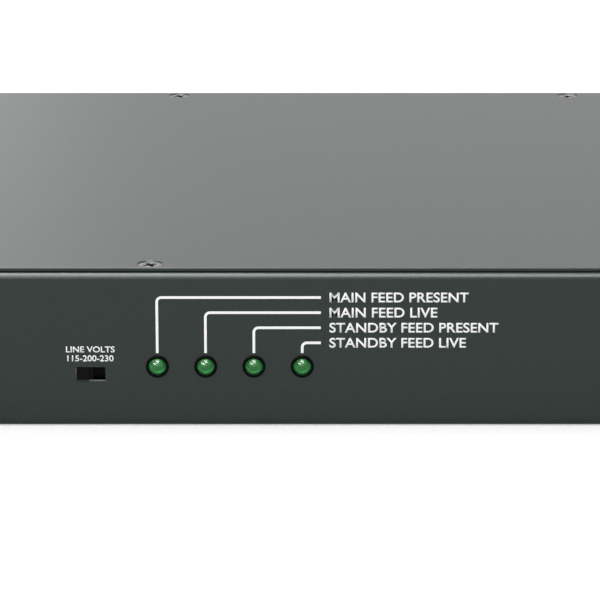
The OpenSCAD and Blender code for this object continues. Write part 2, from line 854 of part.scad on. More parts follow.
module inlet_screws() {
    color("silver") for (x = inlet_xs, s = [-1, 1]) on_rear(x, 0)
        translate([s * inlet_screw_span / 2, 0, socket_flange]) countersunk_screw();
}

// Snap-in shell of an outlet: flange and sleeve with two latches, around the space for the plug's own shell
module power_outlet(x) {
    color([0.06, 0.06, 0.06]) on_rear(x, 0) difference() {
        union() {
            along_z(0, socket_flange) centred_rect(outlet_face, 1.5);
            along_z(groove_floor, 0) centred_rect(outlet_body, 0.6);
            for (s = [-1, 1]) scale([s, 1, 1]) along_y(-latch_w / 2, latch_w / 2) polygon([
                [outlet_body.x / 2 - 0.1, -tray_t],
                [outlet_body.x / 2 + latch_out, -tray_t],
                [outlet_body.x / 2 - 0.1, -tray_t - latch_l]
            ]);
        }
        along_z(groove_floor - past, socket_flange + past) keyed_rect(outlet_groove, 3);
    }
}

// Contact carriers behind the shells, each with an island that has a slot for each of the plug's pins
module outlet_cores() {
    color([0.06, 0.06, 0.06]) for (x = outlet_xs) on_rear(x, 0) difference() {
        union() {
            along_z(groove_floor, socket_flange) keyed_rect(outlet_island, 2);
            along_z(-outlet_body_d, groove_floor) centred_rect(outlet_body, 0.6);
        }
        for (p = contact_places) translate(p) {
            along_z(groove_floor, socket_flange + past) square(contact_slot, center = true);
            along_z(-outlet_body_d - past, groove_floor + past) square([tab_t, contact_w], center = true);
        }
    }
}

module outlet_contacts() {
    color([0.75, 0.72, 0.6]) for (x = outlet_xs, p = contact_places) on_rear(x, 0)
        translate([p.x, p.y, 0]) along_z(-outlet_body_d - tab_l, groove_floor + contact_reach)
            square([tab_t, contact_w], center = true);
}

// ---- Circuit breakers and earth stud ----

module circuit_breaker(x) {
    color([0.08, 0.08, 0.08]) on_rear(x, 0) difference() {
        union() {
            along_z(-tray_t - breaker_body_d, -tray_t) centred_rect(breaker_body, 1);
            translate([0, 0, -tray_t]) cylinder(h = tray_t + neck_l, d = neck_d);
        }
        translate([0, 0, -chamber_deep]) cylinder(h = chamber_deep + neck_l + past, r = bore_r);
        translate([0, 0, -chamber_deep])
            cylinder(h = chamber_deep - chamber_front, r = collar_r + slide_gap);
    }
}

// Reset button: its inner collar keeps it in the breaker when it pops out
module breaker_button(x) {
    collar_t = chamber_deep - chamber_front - button_travel - 1;
    color([0.85, 0.85, 0.82]) on_rear(x, 0) {
        rotate_extrude() intersection() {
            union() {
                translate([0, -chamber_deep + 0.1]) square([button_r, chamber_deep + button_l - 1.1]);
                translate([0, button_l - 1]) square([button_r - 1, 1]);
                translate([button_r - 1, button_l - 1]) circle(1);
                translate([0, -chamber_deep + 0.1]) square([collar_r, collar_t]);
            }
            translate([0, -chamber_deep]) square([neck_d, 2 * chamber_deep]);
        }
    }
}

module breaker_nuts() {
    color("silver") for (x = breaker_xs) on_rear(x, 0) hex_nut(14, 2.5, neck_d + 2 * thread_gap);
}

module earth_stud() {
    color("goldenrod") on_rear(-x_side + stud_inset, 0) {
        translate([0, 0, -tray_t]) cylinder(h = tray_t + 14, d = stud_d);
        translate([0, 0, -tray_t - 1]) cylinder(h = 1, d = stud_d + 5);
    }
}

module earth_washer() {
    color("silver") on_rear(-x_side + stud_inset, 0) difference() {
        cylinder(h = 0.8, d = stud_d + 5);
        translate([0, 0, -past]) cylinder(h = 0.8 + 2 * past, d = stud_d + 2 * hole_gap);
    }
}

module earth_nut() {
    color("goldenrod") on_rear(-x_side + stud_inset, 0) translate([0, 0, 0.8])
        hex_nut(stud_d + 3, stud_d * 0.8, stud_d + 2 * thread_gap);
}

// ---- Power stage ----

module heat_sink() {
    color("silver") difference() {
        along_y(sink_y, sink_y + sink_l) {
            translate([sink_x - sink_w / 2, floor_top]) square([sink_w, sink_base]);
            for (s = [-1, 1], i = [0:fins_each_side - 1])
                translate([sink_x + s * (sink_w / 2 - fin_t / 2 - i * fin_pitch) - fin_t / 2, floor_top])
                    square([fin_t, sink_h]);
        }
        at_sink_screws() countersunk_hole(tray_t + sink_thread, screw_d + 2 * thread_gap);
        for (x = module_xs, s = [-1, 1]) translate([x, module_y + s * module_hole_y, sink_top - module_thread])
            cylinder(h = module_thread + past, d = screw_d + 2 * thread_gap);
    }
}

module sink_screws() { color("silver") at_sink_screws() countersunk_screw(tray_t + sink_thread - thread_end); }

module thyristor_module(x) {
    color([0.1, 0.1, 0.1]) translate([x, module_y, sink_top]) difference() {
        union() {
            along_z(0, module_foot) centred_rect([module_w, module_l], 2);
            along_z(0, module_h) centred_rect([module_w, module_body_l], 1);
        }
        for (s = [-1, 1]) translate([0, s * module_hole_y, -past])
            cylinder(h = module_foot + 2 * past, d = screw_d + 2 * hole_gap);
        for (y = terminal_ys) translate([0, y, module_h - terminal_pocket]) {
            along_z(0, terminal_pocket + past) centred_rect([module_w - 6, 10], 1);
            translate([0, 0, -6]) cylinder(h = 6 + past, d = screw_d + 2 * thread_gap);
        }
    }
}

module module_screws() {
    color("silver") for (x = module_xs) {
        for (s = [-1, 1]) translate([x, module_y + s * module_hole_y, sink_top + module_foot])
            pan_screw(screw_d, module_foot + module_thread - thread_end);
        for (y = terminal_ys) translate([x, module_y + y, module_top - terminal_pocket])
            pan_screw(screw_d, 5.5);
    }
}

// ---- Control board ----

module at_standoffs(z) {
    for (x = standoff_xs, y = standoff_ys) translate([x, y, z]) children();
}

module control_board() {
    color([0.05, 0.3, 0.15]) difference() {
        along_z(control_z, control_top)
            round_rect([control_x0, control_y0], [control_x0 + control_w, control_y0 + control_l], 2);
        at_standoffs(control_z - past)
            cylinder(h = pcb_t + 2 * past, d = small_screw_d + 2 * hole_gap);
    }
}

// Spacers with a foot pressed into the floor
module board_standoffs() {
    color("silver") at_standoffs(floor_top) difference() {
        union() {
            cylinder(h = standoff_h, d = standoff_d);
            translate([0, 0, -tray_t]) cylinder(h = tray_t, d = standoff_d - 1);
        }
        translate([0, 0, 1]) cylinder(h = standoff_h, d = small_screw_d + 2 * thread_gap);
    }
}

module control_screws() {
    color("silver") at_standoffs(control_top) pan_screw(small_screw_d, pcb_t + 3);
}

module insulating_sheet() {
    color([0.9, 0.9, 0.85]) difference() {
        along_z(floor_top, floor_top + sheet_t)
            round_rect([control_x0 - 4, control_y0 - 4],
                       [control_x0 + control_w + 4, control_y0 + control_l + 4], 2);
        at_standoffs(floor_top - past) cylinder(h = sheet_t + 2 * past, d = standoff_d + 1);
    }
}

// Small transformer: a laminated core around a wound bobbin
module transformer(y) {
    color([0.25, 0.25, 0.26]) translate([transformer_x, y, control_top]) {
        translate([-core_w / 2, -core_t / 2, 0]) cube([core_w, core_t, transformer_h]);
        along_z(coil_gap, transformer_h - coil_sunk) centred_rect([coil_w, coil_l], 2);
    }
}

// Can with a rolled groove near its foot and a sunk top
module capacitors() {
    color([0.1, 0.12, 0.3]) for (x = can_xs) translate([x, can_y, control_top]) rotate_extrude()
        difference() {
            square([can_r, can_h]);
            translate([can_r * 1.06, can_r / 2]) circle(can_r * 0.18);
            translate([0, can_h - 0.3]) square([can_r * 0.84, past]);
        }
}

module chip_row(place, size, pitch, count) {
    for (i = [0:count - 1]) translate([place.x + i * pitch, place.y, control_top]) cube(size);
}

module logic_chips() {
    color([0.07, 0.07, 0.07]) {
        chip_row(processor_place, processor, 0, 1);
        chip_row(relay_place, relay, relay_pitch, 4);
        chip_row(driver_place, driver, driver_pitch, 3);
    }
}

module terminal_block() {
    color([0.1, 0.45, 0.25]) translate([block_place.x, block_place.y, control_top]) difference() {
        along_x(0, block_ways * block_pitch) polygon([
            [0, 0], [block_l, 0], [block_l, block_shoulder], [block_l - block_slope, block_h],
            [block_slope, block_h], [0, block_shoulder]
        ]);
        for (i = [0:block_ways - 1]) translate([(i + 0.5) * block_pitch, 0, 0]) {
            translate([0, block_l / 2, block_h - block_screw_h])
                cylinder(h = block_screw_h + past, d = block_screw_d);
            translate([-block_mouth.x / 2, -past, block_sill])
                cube([block_mouth.x, block_mouth.y + past, block_mouth.z]);
        }
    }
}

// Line and neutral wires from each inlet's tabs to its thyristor module
module power_wires() {
    start = y_rear - inlet_body_d - tab_l;
    module_rear = module_y + module_body_l / 2;
    color([0.5, 0.15, 0.1]) for (k = [0, 1], s = [-1, 1]) {
        z = pin_places[1].y;
        x_in = inlet_xs[k] + s * pin_places[2].x;
        x_out = module_xs[1 - k] + s * wire_spread;
        y_turn = (sink_y + sink_l + start) / 2 - s * wire_lane;
        wire([[x_in, start, z], [x_in, y_turn, z], [x_out, y_turn, z], [x_out, module_rear, z]],
             wire_d, wire_bend);
    }
}

// Box headers on the two boards, joined by the ribbon cable
module ribbon_plugs() {
    color([0.1, 0.1, 0.1]) translate([plug_x - plug_w / 2, 0, 0]) {
        translate([0, board_rear, plug_z - plug_t / 2]) cube([plug_w, plug_h, plug_t]);
        translate([0, plug_y - plug_t / 2, control_top]) cube([plug_w, plug_t, plug_h]);
    }
}

module ribbon_cable() {
    y0 = board_rear + plug_h;
    z0 = control_top + plug_h;
    y_turn = plug_y - ribbon_bend;
    color([0.6, 0.6, 0.62]) along_x(plug_x - ribbon_w / 2, plug_x + ribbon_w / 2) {
        translate([y0, plug_z - ribbon_t / 2]) square([y_turn - y0, ribbon_t]);
        translate([plug_y - ribbon_t / 2, z0]) square([ribbon_t, plug_z - ribbon_bend - z0]);
        intersection() {
            translate([y_turn, plug_z - ribbon_bend]) difference() {
                circle(ribbon_bend + ribbon_t / 2);
                circle(ribbon_bend - ribbon_t / 2);
            }
            translate([y_turn, plug_z - ribbon_bend]) square(ribbon_bend + ribbon_t);
        }
    }
}

chassis_tray();
top_cover();
left_ear();
right_ear();
cover_screws();
side_screws();
ear_screws();
clinch_nuts();
for (i = [1:lamp_count]) {
    lamp(i - 1);
    lamp_collar(i - 1);
}
indicator_board();
board_spacers();
indicator_screws();
panel_print();
selector_body();
selector_frame();
selector_slider();
power_inlet(inlet_xs[0]);  // inlet_a
power_inlet(inlet_xs[1]);  // inlet_b
inlet_pins();
inlet_screws();
for (i = [1:outlet_count])
    power_outlet(outlet_xs[i - 1]);
outlet_cores();
outlet_contacts();
circuit_breaker(breaker_xs[0]);  // breaker_a
circuit_breaker(breaker_xs[1]);  // breaker_b
breaker_button(breaker_xs[0]);  // breaker_button_a
breaker_button(breaker_xs[1]);  // breaker_button_b
breaker_nuts();
earth_stud();
earth_washer();
earth_nut();
heat_sink();
sink_screws();
thyristor_module(module_xs[0]);  // thyristor_module_a
thyristor_module(module_xs[1]);  // thyristor_module_b
module_screws();
control_board();
board_standoffs();
control_screws();
insulating_sheet();
transformer(transformer_ys[0]);  // transformer_a
transformer(transformer_ys[1]);  // transformer_b
capacitors();
logic_chips();
terminal_block();
power_wires();
ribbon_plugs();
ribbon_cable();
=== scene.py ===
"""Finishes, lamps, screws and lettering of a one-unit rack transfer switch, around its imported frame."""

import math

import bmesh
import bpy
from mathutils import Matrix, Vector


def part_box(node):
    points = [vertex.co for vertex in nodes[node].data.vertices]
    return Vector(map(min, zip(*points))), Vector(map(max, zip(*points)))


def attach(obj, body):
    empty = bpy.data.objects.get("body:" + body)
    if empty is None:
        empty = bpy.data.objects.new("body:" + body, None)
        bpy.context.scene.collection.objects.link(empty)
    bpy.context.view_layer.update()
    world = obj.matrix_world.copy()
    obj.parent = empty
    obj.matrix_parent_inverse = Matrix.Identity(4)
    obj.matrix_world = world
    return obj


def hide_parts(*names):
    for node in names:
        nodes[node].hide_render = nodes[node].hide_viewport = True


MM = 0.001

# ---- Sizes, in millimetres unless they say otherwise ----

PITCH_DEG = 15.0            # the camera looks down by this much
VIEW_DISTANCE = 893.0
LENS = 200.0
AIM_RIGHT_OF_LAMP = 38.4    # from the first lamp to the middle of the view
AIM_ABOVE_LAMP = 18.5

INK = 0.08                  # height of printed letters over the paint
LABEL_CAP = 2.75            # capital height of the lamp labels
LABEL_GAP = 2.3             # from the end of a leader line to its label
LABEL_STRETCH = 1.085
LABEL_WEIGHT = 0.016        # how far the strokes are thickened, as a share of the type size
NOTE_CAP = 1.7              # capital height over the selector
NOTE_RISE = (6.2, 3.7)      # baselines above the selector's middle
LINE_WIDTH = 0.7

HEAD_DIAMETER = 7.1         # of a case screw, across its countersunk head
SCREW_SUNK = 0.3            # how far a screw head lies below the sheet
SCREW_TURN = math.radians(25)   # the least turn of a screw in its hole

LENS_FLANGE = 0.4           # how far the base flange stands out from the lens
LENS_SIDE = 6.2             # from the dome's foot to the flat back
FLANGE_THICKNESS = 1.0
LIP_PROUD = 0.25            # how far a ring's inner lip stands in front of the ring
LIP_DEPTH = 0.9
LIP_GAP = 0.03              # from the lip to the dome
LIP_OVERLAP = 0.12          # of the lip into the ring
CUP_BELOW_TIP = 3.6         # from the lens's tip to the reflector cup's rim
# Radius and distance below the rim, from the cup's foot to the floor inside it.
CUP_SECTION = ((0, 1.5), (0.75, 1.5), (1.15, 1.1), (1.15, 0), (0.95, 0), (0.5, 0.55), (0, 0.55))
LEAD_PITCH = 2.54
LEAD_WIDTH = 0.5
LEAD_FRONTS = ((-1, 1.3), (1, 0.5))     # side, and distance behind the cup's rim

WORLD_ON_MATT = 0.6         # strength of the white surroundings as a light on matt surfaces
FLOOR_GLOW = 0.3            # what the eye sees of the floor on top of its own colour

# Lights: place and size in metres, and power in watts.
SOFTBOX_AIM = (-0.09, 0.0, 0.0)
SOFTBOXES = (
    ("overhead_softbox", (-0.2, 0.15, 1.3), 2.6, 1.5, 12),
    ("front_fill", (-0.6, -1.4, 0.9), 1.6, 1.2, 7),
)
# These show only in reflections: on the case's bend, on the lamps and on the cover's left half.
STRIP_AIM = (-0.12, 0.0, 0.0)
STRIPS = (
    ("overhead_strip", (-0.2, -0.04, 1.3), 2.2, 0.7, 56),
    ("left_strip", (-0.75, -0.7, 0.84), 0.9, 0.3, 15),
    ("back_left_strip", (-0.9, 2.2, 0.6), 1.2, 0.8, 1.6),
)

LAMP_LABELS = ("MAIN FEED PRESENT", "MAIN FEED LIVE", "STANDBY FEED PRESENT", "STANDBY FEED LIVE")
SELECTOR_NOTES = ("LINE VOLTS", "115-200-230")

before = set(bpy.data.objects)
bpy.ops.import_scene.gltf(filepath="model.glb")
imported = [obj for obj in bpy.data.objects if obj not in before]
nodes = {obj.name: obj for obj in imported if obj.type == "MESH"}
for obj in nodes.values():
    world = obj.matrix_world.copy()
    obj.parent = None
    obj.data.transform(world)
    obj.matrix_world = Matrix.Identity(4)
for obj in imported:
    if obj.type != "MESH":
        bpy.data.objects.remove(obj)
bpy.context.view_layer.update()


# ---- Small helpers ----

def linear(hex_colour, alpha=1.0):
    """An sRGB hex colour as the linear values that shaders take."""
    parts = [int(hex_colour[i:i + 2], 16) / 255 for i in (1, 3, 5)]
    return [p / 12.92 if p <= 0.04045 else ((p + 0.055) / 1.055) ** 2.4 for p in parts] + [alpha]


def add(tree, kind, inputs=None, **settings):
    """Adds a node with its settings. Each input takes a value, or a socket that it is linked to."""
    node = tree.nodes.new(kind)
    for name, value in settings.items():
        setattr(node, name, value)
    for name, value in (inputs or {}).items():
        if isinstance(value, bpy.types.NodeSocket):
            tree.links.new(value, node.inputs[name])
        else:
            node.inputs[name].default_value = value
    return node


def middle(box):
    return (box[0] + box[1]) / 2


def shells(node_name):
    """The box of each separate solid in a CAD node, from left to right, then front to rear."""
    work = bmesh.new()
    work.from_mesh(nodes[node_name].data)
    bmesh.ops.remove_doubles(work, verts=work.verts, dist=1e-6)
    left = set(work.verts)
    boxes = []
    while left:
        edge_of_island = [left.pop()]
        island = []
        while edge_of_island:
            vert = edge_of_island.pop()
            island.append(vert.co.copy())
            for edge in vert.link_edges:
                other = edge.other_vert(vert)
                if other in left:
                    left.remove(other)
                    edge_of_island.append(other)
        low = Vector(min(p[k] for p in island) for k in range(3))
        high = Vector(max(p[k] for p in island) for k in range(3))
        boxes.append((low, high))
    work.free()
    return sorted(boxes, key=lambda b: (round(middle(b).x, 4), round(middle(b).y, 4), middle(b).z))


def link(obj):
    bpy.context.scene.collection.objects.link(obj)
    return obj


def finish_piece(obj, material, body="chassis", replaced=()):
    """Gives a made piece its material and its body."""
    obj.data.materials.clear()
    obj.data.materials.append(material)
    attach(obj, body)
    if replaced:
        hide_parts(*replaced)
    return obj


def baked(obj, name):
    """The evaluated object as a plain mesh at the origin, in place of the object."""
    bpy.context.view_layer.update()
    depsgraph = bpy.context.evaluated_depsgraph_get()
    mesh = bpy.data.meshes.new_from_object(obj.evaluated_get(depsgraph))
    mesh.transform(obj.matrix_world)
    bpy.data.objects.remove(obj)
    mesh.name = name
    return link(bpy.data.objects.new(name, mesh))


# ---- Materials ----

def new_material(name):
    material = bpy.data.materials.new(name)
    material.use_nodes = True
    material.node_tree.nodes.clear()
    return material, material.node_tree


def surface(tree, normal=None, **sockets):
    """Ends a material's tree in one Principled surface."""
    inputs = {key.replace("_", " "): value for key, value in sockets.items()}
    if normal is not None:
        inputs["Normal"] = normal
    shader = add(tree, "ShaderNodeBsdfPrincipled", inputs)
    add(tree, "ShaderNodeOutputMaterial", {"Surface": shader.outputs["BSDF"]})
    return shader


def grain(tree, size, detail=2.0):
    """Noise whose grains are about this many millimetres across."""
    place = add(tree, "ShaderNodeTexCoord").outputs["Object"]
    return add(tree, "ShaderNodeTexNoise",
               {"Vector": place, "Scale": 1 / (size * MM), "Detail": detail, "Roughness": 0.55})


def relief(tree, height, depth, strength=1.0):
    """Bump from a height pattern that is this many millimetres deep."""
    return add(tree, "ShaderNodeBump",
               {"Height": height, "Distance": depth * MM, "Strength": strength}).outputs["Normal"]


def mixed(tree, share, first, second):
    """A mix of two colours. Sockets 6, 7 and 2 are the Mix node's colours."""
    return add(tree, "ShaderNodeMix", {0: share, 6: first, 7: second}, data_type="RGBA").outputs[2]


def two_tones(tree, pattern, dark, light):
    """A colour that a pattern moves between two near tones."""
    return mixed(tree, pattern, linear(dark), linear(light))


def powder_coat():
    """Polyester powder coat, baked on: dark grey, low sheen, with a fine even grain of about 0.35 mm."""
    material, tree = new_material("powder_coat_dark_grey")
    fine = grain(tree, 0.35, 3.0).outputs["Fac"]
    broad = grain(tree, 2.5).outputs["Fac"]
    height = add(tree, "ShaderNodeMath", {0: fine, 1: broad}, operation="ADD").outputs[0]
    surface(tree, normal=relief(tree, height, 0.05, 0.8),
            Base_Color=two_tones(tree, fine, "#1a2522", "#2d3835"),
            Roughness=0.3, Specular_IOR_Level=0.3)
    return material


def nickel_plate():
    """Nickel-plated steel: shiny and a little uneven.

    In the recess it is painted near-black and matt, as painted shade that deepens with depth. The screws
    carry the height of each point in the screw.
    """
    material, tree = new_material("nickel_plated_steel")
    worn = grain(tree, 0.5).outputs["Fac"]
    height = add(tree, "ShaderNodeAttribute", attribute_name="height").outputs["Fac"]
    # painted shade: below the head's face the plate fades to near-black and loses its metal
    outside_painted_shade = add(tree, "ShaderNodeMapRange", {
        "Value": height, "From Min": -0.25 * MM, "From Max": -0.02 * MM, "To Min": 0.02, "To Max": 1.0,
    }).outputs[0]
    plate = two_tones(tree, worn, "#6f6d6a", "#8b8985")
    surface(tree, normal=relief(tree, worn, 0.01, 0.3),
            # painted shade in the recess: near-black base colour and little metal there
            Base_Color=mixed(tree, outside_painted_shade, linear("#050505"), plate),
            Metallic=outside_painted_shade, Roughness=0.3, Specular_IOR_Level=0.05)
    return material


def plated_steel(name, dark, light, roughness):
    """Zinc or tin plate over steel or brass: pale, satin, slightly cloudy."""
    material, tree = new_material(name)
    cloud = grain(tree, 1.5).outputs["Fac"]
    surface(tree, normal=relief(tree, cloud, 0.01, 0.3),
            Base_Color=two_tones(tree, cloud, dark, light), Metallic=1.0, Roughness=roughness)
    return material


def extruded_aluminium():
    """Extruded aluminium: die lines run along the profile, front to rear."""
    material, tree = new_material("aluminium_extruded")
    place = add(tree, "ShaderNodeTexCoord").outputs["Object"]
    stretched = add(tree, "ShaderNodeMapping", {"Vector": place, "Scale": (1.0, 0.02, 1.0)})
    lines = add(tree, "ShaderNodeTexNoise",
                {"Vector": stretched.outputs[0], "Scale": 1 / (0.3 * MM), "Detail": 2.0})
    surface(tree, normal=relief(tree, lines.outputs["Fac"], 0.02, 0.4),
            Base_Color=two_tones(tree, lines.outputs["Fac"], "#b4b6b8", "#c8cacb"),
            Metallic=1.0, Roughness=0.38)
    return material


def moulded(name, dark, light, roughness, grain_size=0.25, depth=0.01, shine=0.5):
    """Injection-moulded thermoplastic: even colour with a spark-eroded grain."""
    material, tree = new_material(name)
    speck = grain(tree, grain_size).outputs["Fac"]
    surface(tree, normal=relief(tree, speck, depth, 0.4),
            Base_Color=two_tones(tree, speck, dark, light), Roughness=roughness,
            Specular_IOR_Level=shine)
    return material


def screen_ink():
    """Screen-printed epoxy ink: matt white, very slightly uneven over the paint's grain."""
    material, tree = new_material("screen_ink_white")
    speck = grain(tree, 0.35).outputs["Fac"]
    surface(tree, normal=relief(tree, speck, 0.01, 0.3),
            Base_Color=two_tones(tree, speck, "#f4f6f4", "#ffffff"), Roughness=0.55)
    return material


def lens_epoxy():
    """Clear epoxy tinted green, cast smooth: it bends light like glass and soaks up all but green."""
    material, tree = new_material("lens_epoxy_green")
    cloud = grain(tree, 1.2).outputs["Fac"]
    surface(tree, Base_Color=two_tones(tree, cloud, "#169c3e", "#22b24c"),
            Transmission_Weight=0.85, IOR=1.53, Roughness=0.06)
    return material


def circuit_laminate():
    """Glass-epoxy board under green solder mask: faint woven cloth below a glossy coat."""
    material, tree = new_material("circuit_laminate_green")
    place = add(tree, "ShaderNodeTexCoord").outputs["Object"]
    weave = add(tree, "ShaderNodeTexWave", {"Vector": place, "Scale": 1 / (1.2 * MM), "Distortion": 0.5})
    surface(tree, normal=relief(tree, weave.outputs["Fac"], 0.01, 0.3),
            Base_Color=two_tones(tree, weave.outputs["Fac"], "#14502c", "#1a5e35"), Roughness=0.3)
    return material


PAINT = powder_coat()
SCREW_STEEL = nickel_plate()
ZINC = plated_steel("zinc_plated_steel", "#a9adb0", "#c2c5c7", 0.34)
TIN = plated_steel("tinned_brass", "#b9b5a6", "#cfcbbb", 0.3)
BRASS = plated_steel("bare_brass", "#b58f45", "#c7a255", 0.3)
ALUMINIUM = extruded_aluminium()
INK_WHITE = screen_ink()
LENS_GREEN = lens_epoxy()
RING_BLACK = moulded("nylon_black_ring", "#040404", "#080808", 0.25, shine=0.05)
SOCKET_BLACK = moulded("polyamide_black_socket", "#18191a", "#202122", 0.42)
KNOB_BLACK = moulded("acetal_black_knob", "#060707", "#0b0c0c", 0.2, shine=0.08)
BUTTON_WHITE = moulded("acetal_white_button", "#dedcd5", "#e8e6df", 0.35)
BOARD_GREEN = circuit_laminate()
FILM = moulded("polyester_film", "#d8d6cb", "#e2e0d6", 0.3)
CORE = moulded("varnished_laminations", "#3a3a3c", "#48484a", 0.4)
SLEEVE = moulded("shrink_sleeve_blue", "#1d2750", "#26305e", 0.28)
TERMINAL_GREEN = moulded("polyamide_green", "#1f7a45", "#27874e", 0.4)
WIRE_RED = moulded("pvc_insulation_brown", "#6b2a1c", "#7a3424", 0.4)
RIBBON_GREY = moulded("pvc_ribbon_grey", "#8d8d90", "#9a9a9d", 0.45)

CAD_FINISHES = {
    PAINT: ["chassis_tray", "top_cover", "left_ear", "right_ear"],
    ZINC: ["clinch_nuts", "board_spacers", "indicator_screws", "selector_frame", "breaker_nuts",
           "earth_washer", "module_screws", "board_standoffs", "control_screws"],
    RING_BLACK: ["selector_body", "lamp_collar_1", "lamp_collar_2", "lamp_collar_3", "lamp_collar_4"],
    SOCKET_BLACK: ["inlet_a", "inlet_b", "outlet_1", "outlet_2", "outlet_3", "outlet_4",
                   "outlet_5", "outlet_6", "outlet_cores", "breaker_a", "breaker_b", "thyristor_module_a",
                   "thyristor_module_b", "logic_chips", "ribbon_plugs"],
    KNOB_BLACK: ["selector_slider"],
    INK_WHITE: ["panel_print"],
    BOARD_GREEN: ["indicator_board", "control_board"],
    TIN: ["inlet_pins", "outlet_contacts"],
    BRASS: ["earth_stud", "earth_nut"],
    BUTTON_WHITE: ["breaker_button_a", "breaker_button_b"],
    ALUMINIUM: ["heat_sink"],
    FILM: ["insulating_sheet"],
    CORE: ["transformer_a", "transformer_b"],
    SLEEVE: ["capacitors"],
    TERMINAL_GREEN: ["terminal_block"],
    WIRE_RED: ["power_wires"],
    RIBBON_GREY: ["ribbon_cable"],
}
for finish, names in CAD_FINISHES.items():
    for name in names:
        for material_slot in nodes[name].material_slots:
            material_slot.material = finish


# ---- Countersunk screws ----

def float_input(tree, name, value):
    socket = tree.interface.new_socket(name, in_out="INPUT", socket_type="NodeSocketFloat")
    socket.default_value = value
    return socket


def geometry_tree(name, sizes):
    """A tree with a geometry input, a material input and the named sizes, in metres."""
    tree = bpy.data.node_groups.new(name, "GeometryNodeTree")
    tree.interface.new_socket("Geometry", in_out="INPUT", socket_type="NodeSocketGeometry")
    tree.interface.new_socket("Material", in_out="INPUT", socket_type="NodeSocketMaterial")
    for key, value in sizes.items():
        float_input(tree, key, value)
    tree.interface.new_socket("Geometry", in_out="OUTPUT", socket_type="NodeSocketGeometry")
    return tree, tree.nodes.new("NodeGroupInput").outputs


def calc(tree, operation, a, b=0.0):
    """One sum of two sizes."""
    return add(tree, "ShaderNodeMath", {0: a, 1: b}, operation=operation).outputs[0]


def turned(tree, stations, sides=48):
    """A closed solid turned about Z. Stations are (height, radius) pairs, as sockets or values."""
    line = add(tree, "GeometryNodeMeshLine", {"Count": len(stations)}).outputs["Mesh"]
    index = add(tree, "GeometryNodeInputIndex").outputs[0]
    chosen = []
    for part in (0, 1):
        pick = add(tree, "GeometryNodeIndexSwitch", data_type="FLOAT")
        while len(pick.index_switch_items) < len(stations):
            pick.index_switch_items.new()
        tree.links.new(index, pick.inputs["Index"])
        for k, station in enumerate(stations):
            if isinstance(station[part], bpy.types.NodeSocket):
                tree.links.new(station[part], pick.inputs[k + 1])
            else:
                pick.inputs[k + 1].default_value = station[part]
        chosen.append(pick.outputs[0])
    spot = add(tree, "ShaderNodeCombineXYZ", {"Z": chosen[0]}).outputs[0]
    placed = add(tree, "GeometryNodeSetPosition", {"Geometry": line, "Position": spot}).outputs[0]
    curve = add(tree, "GeometryNodeMeshToCurve", {"Mesh": placed}).outputs["Curve"]
    ring = add(tree, "GeometryNodeCurvePrimitiveCircle",
               {"Resolution": sides, "Radius": 1.0}).outputs["Curve"]
    return add(tree, "GeometryNodeCurveToMesh",
               {"Curve": curve, "Profile Curve": ring, "Scale": chosen[1], "Fill Caps": True}).outputs[0]


